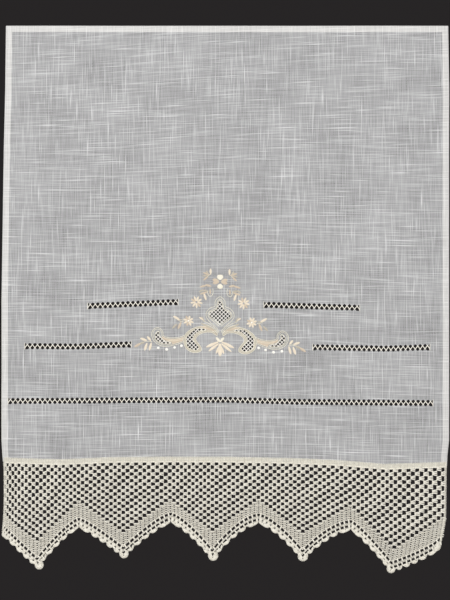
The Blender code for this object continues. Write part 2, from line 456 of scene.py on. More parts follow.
def loft(strands, sides):
    # closed tubes with pointed ends; a strand is rows of x, y, z, across radius, through radius, twist
    places, faces = [], []
    for strand in strands:
        strand = [np.asarray(row, dtype=float) for row in strand]
        first = len(places)
        places.append(strand[0][:3])
        for row in strand[1:-1]:
            for k in range(sides):
                angle = math.tau * k / sides
                up, out = math.cos(angle) * row[3], math.sin(angle) * row[4]
                turn = row[5]
                places.append(row[:3] + (
                    0.0,
                    math.cos(turn) * out - math.sin(turn) * up,
                    math.sin(turn) * out + math.cos(turn) * up,
                ))
        places.append(strand[-1][:3])
        last = len(places) - 1
        rings = len(strand) - 2
        for k in range(sides):
            nextK = (k + 1) % sides
            faces.append((first, first + 1 + nextK, first + 1 + k))
            for ring in range(rings - 1):
                low, high = first + 1 + ring * sides, first + 1 + (ring + 1) * sides
                faces.append((low + k, low + nextK, high + nextK, high + k))
            low = first + 1 + (rings - 1) * sides
            faces.append((low + k, low + nextK, last))
    return places, faces


def unitStitch(name, strands, sides):
    places, faces = loft(strands, sides)
    mesh = bpy.data.meshes.new(name)
    mesh.from_pydata([tuple(place) for place in places], [], faces)
    mesh.polygons.foreach_set("use_smooth", [True] * len(mesh.polygons))
    return bpy.data.objects.new(name, mesh)


# A post: one wrapped yarn from end to end, a little waisted, its section turning as the plies do
postStitch = unitStitch("postStitch", [[
    (-0.54, 0, 0, 0, 0, 0),
    (-0.44, 0, 0, 0.44, 0.40, 0.0),
    (-0.16, 0, 0, 0.50, 0.40, 1.1),
    (0.16, 0, 0, 0.50, 0.40, 2.2),
    (0.44, 0, 0, 0.44, 0.40, 3.3),
    (0.54, 0, 0, 0, 0, 0),
]], 5)

# A chain stitch: two leaning legs that make one V of a braid
chainStitch = unitStitch("chainStitch", [
    [
        (-0.62, 0.10, side * 0.08, 0, 0, 0),
        (-0.22, -0.12, side * 0.27, 0.21, 0.24, 0),
        (0.28, -0.06, side * 0.34, 0.19, 0.22, 0),
        (0.66, 0.16, side * 0.16, 0, 0, 0),
    ]
    for side in (-1.0, 1.0)
], 4)


class StitchList:
    def __init__(self):
        self.places = []
        self.turns = []
        self.sizes = []

    def between(self, start, end, thick, lift=0.0, through=None, over=0.0):
        # a stitch from start to end, both x and depth, a little longer by over at each end
        run, drop = end[0] - start[0], end[1] - start[1]
        length = math.hypot(run, drop)
        self.places.append(((start[0] + end[0]) / 2.0, lift, (start[1] + end[1]) / 2.0))
        self.turns.append(-math.atan2(drop, run))
        self.sizes.append((length + 2.0 * over, through or thick, thick))

    def braid(self, path, period, thick, lift=0.0):
        # chain stitches head to tail along a path of x, depth
        path = np.asarray(path, dtype=float)
        steps = np.hypot(*np.diff(path, axis=0).T)
        along = np.concatenate(([0.0], np.cumsum(steps)))
        count = max(int(round(along[-1] / period)), 1)
        marks = np.linspace(0.0, along[-1], count + 1)
        xs, depths = np.interp(marks, along, path[:, 0]), np.interp(marks, along, path[:, 1])
        for k in range(count):
            self.between((xs[k], depths[k]), (xs[k + 1], depths[k + 1]), thick, lift)

    def piece(self, name, stitch, material, seed, turn=0.05, size=0.08):
        guide = guideMesh(name + "_points", self.places, turn=self.turns, size=self.sizes)
        unsteady = {"Unsteady Turn": turn, "Unsteady Size": size, "Seed": seed}
        return grown(name, guide, stitchTree, {"Stitch": stitch, "Material": material, **unsteady})


class YarnList:
    def __init__(self):
        self.points = []
        self.edges = []
        self.radii = []

    def line(self, points, thick):
        first = len(self.points)
        self.points += [tuple(point) for point in points]
        self.edges += [(k, k + 1) for k in range(first, len(self.points) - 1)]
        self.radii += list(np.broadcast_to(np.asarray(thick, dtype=float) / 2.0, (len(points),)))

    def piece(self, name, material, sides):
        guide = guideMesh(name + "_lines", self.points, self.edges, thick=self.radii)
        return grown(name, guide, yarnTree, {"Sides": sides, "Material": material})


def smoothLine(points, step):
    # a smooth path through given points, cut into steps
    points = np.asarray(points, dtype=float)
    ends = np.vstack((2 * points[0] - points[1], points, 2 * points[-1] - points[-2]))
    rows = []
    for k in range(1, len(ends) - 2):
        a, b, c, d = ends[k - 1], ends[k], ends[k + 1], ends[k + 2]
        count = max(int(math.ceil(np.linalg.norm((c - b)[:2]) / step)), 1)
        for n in range(count):
            t = n / count
            rows.append(0.5 * (
                2 * b + (c - a) * t + (2 * a - 5 * b + 4 * c - d) * t * t
                + (3 * b - a - 3 * c + d) * t**3
            ))
    rows.append(points[-1])
    return np.array(rows)


creamYarn = makeYarnMaterial("creamYarn", *yarnLook["net"])
# a lighter copy of the same cream yarn, painted light on the heading
headingYarnPaintedLight = makeYarnMaterial("headingYarnPaintedLight", *yarnLook["heading"])
# a darker copy of the same cream yarn, painted shade on the edge's shells and cords
edgeYarnPaintedShade = makeYarnMaterial("edgeYarnPaintedShade", *yarnLook["edge"])


studio = {
    "distance": 6.0,
    "frameHigh": 0.81,
    "middle": (-0.000675, -0.3699),
    "ground": (0.021, 0.019, 0.0194),
    "ambient": 0.66,
    # name, place, width, power
    "lights": (
        ("keyLight", (-1.6, -2.6, 1.0), 1.6, 56.0),
        ("fillLight", (2.0, -2.4, 0.1), 2.0, 30.0),
        ("backLight", (0.6, 2.6, 1.2), 1.6, 14.0),
    ),
    "floorDepth": 1.15,
    "floorHalf": 3.0,
    "floorColor": (0.72, 0.71, 0.69),
}


def makeStudio():
    scene = bpy.context.scene
    scene.view_settings.view_transform = "Standard"
    camera = bpy.data.cameras.new("camera")
    camera.sensor_width = 36.0
    camera.lens = 36.0 * studio["distance"] / studio["frameHigh"]
    camera.clip_end = 50.0
    holder = linked("camera", camera)
    holder.location = (studio["middle"][0], -studio["distance"], studio["middle"][1])
    holder.rotation_euler = (math.pi / 2.0, 0.0, 0.0)
    scene.camera = holder

    world = bpy.data.worlds.new("studio")
    scene.world = world
    world.use_nodes = True
    tree = world.node_tree
    background = tree.nodes["Background"]
    path = addNode(tree, "ShaderNodeLightPath")
    behind = addNode(tree, "ShaderNodeBackground")
    behind.inputs["Color"].default_value = (*studio["ground"], 1.0)
    background.inputs["Color"].default_value = (1.0, 1.0, 1.0, 1.0)
    background.inputs["Strength"].default_value = studio["ambient"]
    mixed = addNode(tree, "ShaderNodeMixShader")
    wire(
        tree,
        (path.outputs["Is Camera Ray"], mixed.inputs[0]),
        (background.outputs[0], mixed.inputs[1]),
        (behind.outputs[0], mixed.inputs[2]),
        (mixed.outputs[0], tree.nodes["World Output"].inputs["Surface"]),
    )

    for name, place, size, power in studio["lights"]:
        light = bpy.data.lights.new(name, "AREA")
        light.size = size
        light.energy = power
        lamp = linked(name, light)
        lamp.location = place
        aim = Vector((0.0, 0.0, studio["middle"][1])) - lamp.location
        lamp.rotation_euler = aim.to_track_quat("-Z", "Y").to_euler()

    high, wide = -studio["floorDepth"], studio["floorHalf"]
    corners = [(x * wide, y * wide, high) for x, y in ((-1, -1), (1, -1), (1, 1), (-1, 1))]
    mesh = bpy.data.meshes.new("floor")
    mesh.from_pydata(corners, [], [(0, 1, 2, 3)])
    material, tree, shader = newMaterial("paleFloor", 0.8)
    shader.inputs["Base Color"].default_value = (*studio["floorColor"], 1.0)
    mesh.materials.append(material)
    floor = linked("floor", mesh)


makeStudio()
print("studio ready")


voile = {
    "grid": 7.0,
    "hemWide": 8.0,
    "hemStep": 0.5,
    "turnIn": 6.0,
    # how far in from the edge, and how far behind the cloth, the turned hem runs
    "turnedHem": ((-0.3, 0.35), (0.0, 0.68), (4.0, 0.8), (7.7, 0.62)),
    "turnedShift": (31.0, 17.0),
    "fieldDepths": (14.0, 578.0),
    "fieldInset": 13.0,
    # rise of the weft to the right, depth at which it levels out, height and length of its wave
    "weft": (0.045, 330.0, 1.6, 85.0),
    "flat": (0.62, 0.60),
}

ladders = {
    "high": 8.6,
    "period": 6.7,
    # the cloth between two holes narrows to a bundle, given by its half widths at the edge and at the tie
    "bundle": (2.7, 0.5),
    "tieShare": 0.25,
    "strand": 0.62,
    "strandOffsets": (-0.28, 0.28),
    "tie": 0.9,
    "tieHalf": 0.75,
    "endTie": 0.7,
    "routes": (
        ((-186.0, 378.0), (-63.9, 372.6)),
        ((51.8, 376.4), (181.0, 380.4)),
        ((-270.8, 432.1), (-199.5, 432.7), (-127.2, 429.7)),
        ((117.9, 433.6), (215.3, 435.5), (275.9, 433.5)),
        ((-293.6, 506.3), (-0.7, 504.6), (100.6, 507.5), (280.1, 509.0)),
    ),
}


# The motif's outlines and places, here and in "embroidery", were read by eye off enlarged crops of the
# photo; the report says what is to be done about that.
motif = {
    # places are (across, down) from the motif's middle in units of 1.35 mm; the left half is the right one
    # mirrored, and sits a little higher
    "middle": (-7.3, 369.9),
    "unit": 1.35,
    "leftRise": 0.055,
    "netPitch": 1.945,
    # how many lines and cells of the needle net are tried each way from its middle
    "netReach": (12, 30),
    "netThread": 1.1,
    "netKnot": 1.45,
    "medallionHole": (
        (0.0, 0.6), (1.4, 1.8), (2.2, 4.8), (2.9, 8.2), (5.6, 10.6), (9.4, 12.2), (10.9, 14.6),
        (10.0, 17.4), (6.6, 19.8), (3.2, 22.2), (0.3, 24.6),
    ),
    "scrollHole": (
        (14.2, 29.6), (20.0, 29.5), (24.5, 30.0), (28.5, 33.4), (31.6, 36.5), (33.7, 39.5), (33.8, 44.0),
        (33.0, 48.0), (30.5, 50.2), (25.0, 51.8), (22.0, 50.4), (21.3, 48.3), (24.0, 45.0), (26.7, 42.2),
        (26.9, 39.2), (26.2, 36.8), (23.2, 34.2), (20.0, 32.0), (14.4, 31.4),
    ),
    "curlHole": (
        (49.5, 44.8), (54.5, 44.5), (57.2, 42.6), (59.2, 40.7), (61.0, 38.8), (61.1, 36.8), (60.8, 35.2),
        (62.3, 34.6), (63.9, 36.0), (65.1, 38.4), (64.9, 41.0), (64.0, 43.6), (61.5, 45.4), (58.5, 46.6),
        (55.0, 47.0), (50.0, 46.4),
    ),
    "medallionNet": (-0.3, 2.5),
    "scrollNet": (28.3, 42.8),
    "curlNet": (60.0, 42.3),
}


def motifPoint(across, down, side=1):
    # a place on the motif as x and depth
    if side < 0:
        across, down = -across, down - motif["leftRise"] * abs(across)
    return motif["middle"][0] + across * motif["unit"], motif["middle"][1] + down * motif["unit"]


def motifRing(name, side):
    return [motifPoint(across, down, side) for across, down in motif[name]]


def motifEdge(name, side):
    return [motifPoint(across, down, side) for across, down in embroidery[name]]


def mirroredRing(points):
    return [motifPoint(*p) for p in points] + [motifPoint(*p, -1) for p in reversed(points[1:])]


def spaced(start, end, pitch):
    count = max(int(round(abs(end - start) / pitch)), 1)
    return np.linspace(start, end, count + 1)


def ladderNodes(route):
    # x of the ties on the upper side and on the lower side of one ladder
    left, right = route[0][0], route[-1][0]
    count = int(round((right - left) / ladders["period"]))
    step = (right - left) / count
    return [left + step * (k + 0.5) for k in range(count)], [left + step * k for k in range(1, count)]


def ladderDepth(route, x, share):
    middle = float(np.interp(x, [row[0] for row in route], [row[1] for row in route]))
    return middle + share * ladders["high"]


def stripOutline(route):
    # the opening of one ladder, with a point of cloth that reaches in to each tie
    wide, narrow = ladders["bundle"]
    sides = []
    for nodes, way in zip(ladderNodes(route), (-1.0, 1.0)):
        rows = [(route[0][0], 0.5)]
        for x in nodes:
            tie = ladders["tieShare"]
            rows += [(x - wide, 0.5), (x - narrow, tie), (x + narrow, tie), (x + wide, 0.5)]
        rows.append((route[-1][0], 0.5))
        sides.append([(x, ladderDepth(route, x, way * share)) for x, share in rows])
    return sides[0] + sides[1][::-1]


motifHoles = [
    (mirroredRing(motif["medallionHole"]), motif["medallionNet"], 1),
    (motifRing("scrollHole", 1), motif["scrollNet"], 1),
    (motifRing("scrollHole", -1), motif["scrollNet"], -1),
    (motifRing("curlHole", 1), motif["curlNet"], 1),
    (motifRing("curlHole", -1), motif["curlNet"], -1),
]
openings = [stripOutline(route) for route in ladders["routes"]]
openings += [ring for ring, _, _ in motifHoles]


def ringArea(ring):
    # twice the area, below zero for a ring that runs the other way round
    ring = np.asarray(ring)
    ahead = np.roll(ring, -1, axis=0)
    return float((ring[:, 0] * ahead[:, 1] - ahead[:, 0] * ring[:, 1]).sum())


def flatCut(outline, holes, lines, points):
    flat, edges, faces = [], [], []
    for ring in (outline, *holes):
        if ringArea(ring) < 0.0:
            ring = ring[::-1]
        faces.append(list(range(len(flat), len(flat) + len(ring))))
        flat += [tuple(point) for point in ring]
    for line in lines:
        edges += [(len(flat) + k, len(flat) + k + 1) for k in range(len(line) - 1)]
        flat += [tuple(point) for point in line]
    flat += [tuple(point) for point in points]
    vectors = [Vector(point) for point in flat]
    cutPoints, _, cutFaces, _, _, sources = delaunay_2d_cdt(vectors, edges, faces, 1, 0.00001)
    kept = [list(face) for face, source in zip(cutFaces, sources) if list(source) == [0]]
    used = sorted({k for face in kept for k in face})
    place = {old: new for new, old in enumerate(used)}
    flat = np.array([tuple(cutPoints[k]) for k in used])
    turned = []
    for face in kept:
        face = [place[k] for k in face]
        turned.append(face[::-1] if ringArea(flat[face]) > 0.0 else face)
    return flat, turned


def weaveTilt(x, depth):
    # the weft rises to the right near the top and levels out lower down
    rise, levelDepth, waveHigh, waveLong = voile["weft"]
    return depth + rise * x * (1.0 - eased(depth / levelDepth)) + waveHigh * np.sin(x / waveLong + 1.0)


def makeVoile():
    size = voile
    leftFoot = float(seam(leftEdge(582.3))) + size["turnIn"]
    rightFoot = float(seam(rightEdge(588.0))) + size["turnIn"]
    top = [(x, 0.0) for x in spaced(float(leftEdge(0.0)), float(rightEdge(0.0)), size["grid"])]
    right = [(float(rightEdge(d)), d) for d in spaced(0.0, rightFoot, size["grid"])]
    left = [(float(leftEdge(d)), d) for d in spaced(leftFoot, 0.0, size["grid"])]
    footXs = spaced(right[-1][0], left[0][0], size["grid"])
    foot = [(x, float(seam(x)) + size["turnIn"]) for x in footXs]
    outline = top + right[1:] + foot[1:-1] + left[:-1]

    lines = []
    for inset in (size["hemWide"], size["hemWide"] + size["hemStep"]):
        rows = [(float(leftEdge(d)) + inset, d) for d in spaced(leftFoot - 0.5, inset, size["grid"])]
        across = spaced(float(leftEdge(inset)) + inset, float(rightEdge(inset)) - inset, size["grid"])
        rows += [(x, inset) for x in across[1:-1]]
        rows += [(float(rightEdge(d)) - inset, d) for d in spaced(inset, rightFoot - 0.5, size["grid"])]
        lines.append(rows)

    points = []
    for depth in spaced(*size["fieldDepths"], size["grid"]):
        first = float(leftEdge(depth)) + size["fieldInset"]
        last = float(rightEdge(depth)) - size["fieldInset"]
        points += [(x, depth) for x in spaced(first, last, size["grid"])]
    flat, faces = flatCut(outline, openings, lines, points)

    inset = np.minimum(flat[:, 0] - leftEdge(flat[:, 1]), rightEdge(flat[:, 1]) - flat[:, 0])
    inset = np.minimum(inset, flat[:, 1])
    hem = np.clip((size["hemWide"] + size["hemStep"] - inset) / size["hemStep"], 0.0, 1.0)
    places = [(x, 0.0, depth) for x, depth in flat]
    hemShare = list(hem)
    weave = [(x, float(weaveTilt(x, depth))) for x, depth in flat]

    # the hems turn round the edge and run back behind the cloth
    def turnedBack(rim, inward):
        rows = []
        for x, depth in rim:
            step = np.array(inward(x, depth))
            row = []
            for reach, behind in size["turnedHem"]:
                row.append(len(places))
                spot = np.array((x, depth)) + step * reach
                places.append((spot[0], behind, spot[1]))
                hemShare.append(1.0)
                weave.append((spot[0] + size["turnedShift"][0], spot[1] + size["turnedShift"][1]))
            rows.append(row)
        starts = [int(np.argmin(np.hypot(flat[:, 0] - x, flat[:, 1] - depth))) for x, depth in rim]
        for (startA, rowA), (startB, rowB) in zip(zip(starts, rows), zip(starts[1:], rows[1:])):
            lineA, lineB = [startA, *rowA], [startB, *rowB]
            for k in range(len(lineA) - 1):
                faces.append([lineA[k], lineB[k], lineB[k + 1], lineA[k + 1]])

    turnedBack(left, lambda x, depth: (1.0, 0.0))
    turnedBack(right, lambda x, depth: (-1.0, 0.0))
    turnedBack(top, lambda x, depth: (0.0, 1.0))

    piece = sheetPiece("voile", places, faces, "weave", weave, makeVoileMaterial())
    piece.data.attributes.new("hem", "FLOAT", "POINT").data.foreach_set("value", hemShare)
    return dressedPiece(piece, ["panel"])


voilePiece = makeVoile()
print("voile ready")


net = {
    # column number and x of each turn of the zigzag, where the net ends and at the edge
    "turnColumns": (0, 10, 21, 32, 43, 54, 65, 76, 87, 98, 109),
    "turnNetX": (-297.7, -254.1, -198.3, -138.0, -74.9, -17.6, 44.6, 104.6, 168.1, 229.2, 294.4),
    "turnEdgeX": (-299.0, -254.1, -197.8, -138.0, -74.0, -18.0, 44.8, 104.0, 169.4, 223.5, 289.0),
    "lastHole": (11, 21, 10, 21, 10, 21, 10, 21, 10, 21, 10),
    "firstPitches": (2.15, 2.6, 2.9, 3.0, 3.4, 3.4, 3.7, 3.7, 3.6, 3.85),
    # pitch of the lines beyond the last columns: on the left, then on the right in the net and at the edge
    "outerPitch": (2.1, 4.2, 4.0),
    # the lines start to lean this far above the net's end, over this much more than the band
    "leanStart": 12.0,
    "leanMore": 6.0,
    "topHole": 1.6,
    "crowding": 0.02,
    "waver": 0.4,
    "post": 0.325,
    "postSpread": (0.24, 0.43),
    # side and lift of the three yarns of a post
    "postYarns": ((-1.0, -0.15), (0.0, 0.45), (1.0, -0.15)),
    "chain": 0.75,
    "chainPeriod": 2.2,
    "chainFoot": 3.5,
    # how far the yarns run up under the heading
    "tuck": 1.0,
}
heading = {
    "high": 7.5,
    "rows": 4,
    "gap": 0.3,
    "inset": 0.6,
    "period": 2.3,
    "overlap": 1.18,
    "postPitch": 1.55,
    "post": 1.6,
}

columnCount = net["turnColumns"][-1] + 1


def columnX(number, turnX, outerPitch):
    # even columns on each flank, but drawn together towards the left end, and a few more beyond both ends
    shares = np.concatenate(([0.0], np.cumsum(net["firstPitches"]))) / sum(net["firstPitches"])
    x = float(np.interp(number, net["turnColumns"], turnX))
    if number < net["turnColumns"][1]:
        x = turnX[0] + (turnX[1] - turnX[0]) * float(np.interp(number, np.arange(len(shares)), shares))
    return x + min(number, 0.0) * net["outerPitch"][0] + max(number - columnCount + 1.0, 0.0) * outerPitch


def netX(number):
    return columnX(number, net["turnNetX"], net["outerPitch"][1])


def edgeX(number):
    return columnX(number, net["turnEdgeX"], net["outerPitch"][2])


def netEnd(number):
    return float(np.interp(number, net["turnColumns"], turnTable[:, 2]))


def edgeBase(x):
    # the scalloped edge's line without its scallops
    k = int(np.clip(np.searchsorted(turnTable[:, 0], x) - 1, 0, len(turnTable) - 2))
    low, high = turnTable[k], turnTable[k + 1]
    share = float(np.clip((x - low[0]) / (high[0] - low[0]), 0.0, 1.0))
    if low[1] < high[1]:
        return low[1] + (high[1] - low[1]) * share ** low[3]
    return high[1] + (low[1] - high[1]) * (1.0 - share) ** low[3]


def lineX(number, depth):
    # x of the line at a column number, which leans from its place in the net to its place at the edge
    start, end = netEnd(number), edgeBase(edgeX(number))
    lean = float(eased((depth - start + net["leanStart"]) / (end - start + net["leanMore"])))
    waver = net["waver"] * math.sin(0.55 * depth + 2.4 * number) * (1.0 - lean)
    return netX(number) * (1.0 - lean) + edgeX(number) * lean + waver


def headingFoot(x):
    return float(seam(x)) + heading["gap"] + heading["high"]


def lastHole(number):
    return int(round(float(np.interp(number, net["turnColumns"], net["lastHole"]))))


def holeDepth(number, step):
    # depth of a half step of the net, where holes and cells take turns
    start = headingFoot(netX(number)) + net["topHole"]
    share = step / lastHole(number)
    share = share + net["crowding"] * math.sin(math.pi * min(max(share, 0.0), 1.0))
    waver = 0.8 * net["waver"] * math.sin(1.9 * number + 2.7 * step)
    return start + (netEnd(number) - start) * share + waver


posts, chains, ribs, ties = StitchList(), StitchList(), StitchList(), StitchList()

edging = {
    "heart": 4.0,
    "cord": 1.7,
    # the two rows of eyelets: how far above the edge, and half their height square to the flank
    "rows": ((13.7, 2.5), (7.2, 2.3)),
    # on the flanks that fall to the right these close the second row to pin holes
    "closingLines": (0.6, -0.6),
    "closingCord": 1.5,
    "closingBars": (-0.29, 0.29),
    "closingBar": 1.6,
    "cordPeriod": 2.2,
    # bars of the first row, then of the second
    "bars": (2.5, 2.3),
    "rayPitch": 1.9,
    "ray": 1.45,
    "rayStart": 1.2,
    "rimCord": 1.6,
    "rimPeriod": 2.0,
    "rim": 0.9,
    # how far below the net's end the band starts, and its first ties below that, on and between the columns
    "bandTop": 2.6,
    "firstTies": (2.2, 1.2),
    "topTie": 1.6,
    "rib": 1.75,
    "ribPeriod": 1.9,
    "ribPlace": 0.31,
    "tie": 1.35,
    "tieHalf": 1.15,
    "tieSpread": 0.2,
    "tiePitch": 2.8,
    # inset and thickness of the cords down each side, their stitch and where they start and end
    "selvedges": ((1.0, 2.0), (2.3, 1.5)),
    "selvedgePeriod": 2.1,
    "selvedgeTop": 590.0,
    "selvedgeFeet": (684.0, 696.0),
    # centre, radius and the angles of the shell that rounds off each end
    "endShells": ((-298.8, 687.2, 4.2, 215.0, 45.0), (284.0, 702.2, 7.4, 125.0, -70.0)),
}


def flankSlope(x):
    # slope of the edge, and length of the flank for each millimetre across
    slope = (edgeBase(x + 1.5) - edgeBase(x - 1.5)) / 3.0
    return slope, math.hypot(1.0, slope)


def edgeRow(x, row, side):
    # depth of the upper (1) or lower (-1) side of a row of eyelets, at an even height square to the flank
    middle, half = edging["rows"][row]
    return edgeBase(x) - middle - side * half * flankSlope(x)[1]


def layNet():
    narrow, wide = net["postSpread"]
    for number in range(columnCount):
        last = lastHole(number)
        top = headingFoot(netX(number)) - net["tuck"]
        for step in range(last % 2 - 1, last, 2):
            middle = holeDepth(number, step)
            half = (holeDepth(number, step + 1) - holeDepth(number, step - 1)) / 2.0
            left, right = lineX(number - 0.5, middle), lineX(number + 0.5, middle)
            for side, lift in net["postYarns"]:
                start = (left, max(middle + side * half * narrow, top))
                end = (right, max(middle + side * half * wide, top))
                posts.between(start, end, net["post"] * half, lift, over=0.25)


def linePath(line, first, last, step):
    return [(lineX(line, depth), depth) for depth in spaced(first, last, step)]


def layColumns():
    for number in range(-1, columnCount):
        line = number + 0.5
        path = linePath(line, headingFoot(netX(line)) - net["tuck"], netEnd(line) + net["chainFoot"], 4.0)
        chains.braid(path, net["chainPeriod"], net["chain"], -0.25)


def layBand():
    # upright ribs in pairs between the net's last holes and the eyelets, tied across their gaps
    place, half = edging["ribPlace"], edging["tieHalf"]
    onColumn, between = edging["firstTies"]
    for number in range(columnCount + 1):
        top = netEnd(number) + edging["bandTop"]
        for line in (number - place, number + place):
            if line > columnCount - 0.3:
                continue
            path = linePath(line, top, edgeRow(edgeX(line), 0, 1.0), 3.0)
            ribs.braid(path, edging["ribPeriod"], edging["rib"], -0.3)
        if number < columnCount:
            left, right = lineX(number - 0.5, top), lineX(number + 0.5, top)
            ties.between((left, top + 0.3), (right, top + 0.3), edging["topTie"], 0.3, over=0.3)
        topBefore = netEnd(number - 1) + edging["bandTop"]
        for line, first in ((number, top + onColumn), (number - 0.5, max(top, topBefore) + between)):
            for depth in spaced(first, edgeRow(edgeX(line), 0, 1.0), edging["tiePitch"]):
                x = lineX(line, depth)
                thick = edging["tie"] * (1.0 + edging["tieSpread"] * math.sin(1.7 * line + 0.9 * depth))
                ties.between((x - half, depth), (x + half, depth), thick, 0.45)


layNet()
layColumns()
layBand()


cords, fans = StitchList(), StitchList()

shells = {
    "places": (0.14, 0.33, 0.50, 0.66, 0.82),
    "firstPlaces": (0.08, 0.26, 0.46, 0.65, 0.82),
    "notch": 5.2,  # deeper than in the part's source
    "valleyShare": 0.12,
    "tipNeck": 0.875,
    # share of a shell's width that its rim takes on each side of its middle
    "reach": 0.499,
}


def flankPoint(valley, tip, hollow, phase, places):
    count = len(places)
    stops = (0.0, *places, shells["tipNeck"], 1.0)
    phases = (-0.5, *range(count), count - 0.5, float(count))
    share = float(np.interp(phase, phases, stops))
    across = (phase + 0.5) % 1.0 - 0.5
    notch = shells["notch"] * (1.0 - math.sqrt(max(1.0 - (2.0 * across) ** 2, 0.0)))
    run, drop = tip[0] - valley[0], tip[1] - valley[1]
    length = math.hypot(run, drop)
    inward = math.copysign(notch * drop / length, run) * min(share / shells["valleyShare"], 1.0)
    return valley[0] + run * share + inward, valley[1] + drop * share**hollow - notch * abs(run) / length


def tipArc(start, tip, end, count):
    (ax, ay), (bx, by), (cx, cy) = start, tip[:2], end
    twice = 2.0 * (ax * (by - cy) + bx * (cy - ay) + cx * (ay - by))
    a, b, c = (x * x + y * y for x, y in (start, tip[:2], end))
    middleX = (a * (by - cy) + b * (cy - ay) + c * (ay - by)) / twice
    middleY = (a * (cx - bx) + b * (ax - cx) + c * (bx - ax)) / twice
    radius = math.hypot(ax - middleX, ay - middleY)
    first = math.atan2(ay - middleY, ax - middleX)
    last = math.atan2(cy - middleY, cx - middleX)
    sweep = (last - first) % math.tau - math.tau
    angles = [first + sweep * k / count for k in range(count + 1)]
    return [(middleX + radius * math.cos(angle), middleY + radius * math.sin(angle)) for angle in angles]


def shellArcs():
    # the outline of each shell from left to right, with the number of the column at its middle
    arcs = []
    rows = cut["turns"]
    count = len(shells["places"])
    reach = shells["reach"]
    for turn in range(1, len(rows), 2):
        left, tip, right = rows[turn - 1], rows[turn], rows[turn + 1]
        tipColumn = net["turnColumns"][turn]
        leftPlaces = shells["firstPlaces"] if turn == 1 else shells["places"]

        def leftPoint(phase):
            return flankPoint(left, tip, left[3], phase, leftPlaces)

        def rightPoint(phase):
            return flankPoint(right, tip, tip[3], phase, shells["places"])

        for k in range(count):
            arc = [leftPoint(phase) for phase in np.linspace(k - reach, k + reach, 9)]
            arcs.append((tipColumn - 2 * (count - k), arc))
        start, end = leftPoint(count - 1 + reach), rightPoint(count - 1 + reach)
        arcs.append((tipColumn, tipArc(start, tip, end, 8)))
        for k in reversed(range(count)):
            arc = [rightPoint(phase) for phase in np.linspace(k + reach, k - reach, 9)]
            arcs.append((tipColumn + 2 * (count - k), arc))
    return arcs


def edgeLine(row, side, first=-301.0, last=288.0):
    return [(x, edgeRow(x, row, side)) for x in spaced(first, last, 2.0)]


def onRightFlank(number):
    # flanks that rise to the right have a second row of open eyelets
    turn = int(np.searchsorted(net["turnColumns"], number, side="right")) - 1
    return turn % 2 == 1


def bar(x, row, thick, lift):
    # a bar across a row of eyelets, square to its flank
    slope, length = flankSlope(x)
    shift = edging["rows"][row][1] * 0.8 * slope / length
    upper = (x + shift, edgeRow(x + shift, row, 1.0))
    lower = (x - shift, edgeRow(x - shift, row, -1.0))
    fans.between(upper, lower, thick, lift, over=0.4)


def layShell(arc, heart):
    arc = np.array(arc)
    inner = arc + (heart - arc) * (edging["rim"] / np.maximum(np.hypot(*(heart - arc).T), 0.1))[:, None]
    cords.braid(inner, edging["rimPeriod"], edging["rimCord"], -0.15)
    steps = np.hypot(*np.diff(inner, axis=0).T)
    along = np.concatenate(([0.0], np.cumsum(steps)))
    for mark in spaced(0.0, float(along[-1]), edging["rayPitch"]):
        spot = np.array((np.interp(mark, along, inner[:, 0]), np.interp(mark, along, inner[:, 1])))
        away = spot - heart
        start = heart + away / float(np.hypot(*away)) * edging["rayStart"]
        fans.between(start, spot, edging["ray"], 0.05, over=0.3)


def layEdging():
    period = edging["cordPeriod"]
    for row in (0, 1):
        for side in (1.0, -1.0):
            cords.braid(edgeLine(row, side), period, edging["cord"], -0.1)
    for turn in range(0, len(turnTable) - 1, 2):
        for side in edging["closingLines"]:
            line = edgeLine(1, side, turnTable[turn][0], turnTable[turn + 1][0])
            cords.braid(line, period, edging["closingCord"], 0.1)
    for number in range(-1, columnCount):
        for row in (0, 1):
            bar(edgeX(number + 0.5), row, edging["bars"][row], 0.1)
        if not onRightFlank(number):
            for share in edging["closingBars"]:
                bar(edgeX(number + share), 1, edging["closingBar"], 0.15)
    for number, arc in shellArcs():
        middle = np.array(arc).mean(axis=0)
        x = edgeX(number) if number > 0 else arc[0][0] + 5.0
        x = (x + middle[0]) / 2.0
        layShell(arc, np.array((x, edgeBase(x) - edging["heart"])))
    for x, depth, radius, first, last in edging["endShells"]:
        angles = np.radians(np.linspace(first, last, 9))
        arc = [(x + radius * math.cos(angle), depth + radius * math.sin(angle)) for angle in angles]
        layShell(arc, np.array((x, depth)))
    for side, edge, foot in zip((1.0, -1.0), (leftEdge, rightEdge), edging["selvedgeFeet"]):
        depths = spaced(edging["selvedgeTop"], foot, 4.0)
        for inset, thick in edging["selvedges"]:
            line = [(float(edge(depth)) + side * inset, depth) for depth in depths]
            cords.braid(line, edging["selvedgePeriod"], thick, 0.0)


def layHeading():
    rows, high, inset = heading["rows"], heading["high"], heading["inset"]
    step = high / rows
    xs = spaced(float(leftEdge(590.0)) + inset, float(rightEdge(590.0)) - inset, 6.0)
    for row in range(rows):
        path = [(x, float(seam(x)) + heading["gap"] + step * (row + 0.5)) for x in xs]
        headingStitches.braid(path, heading["period"], step * heading["overlap"], -0.35)
    for x in spaced(xs[0] + 0.8, xs[-1] - 0.8, heading["postPitch"]):
        top = float(seam(x)) + heading["gap"]
        headingPosts.between((x, top + 0.3), (x, top + high - 0.3), heading["post"], 0.55)


headingStitches, headingPosts = StitchList(), StitchList()
layEdging()
layHeading()

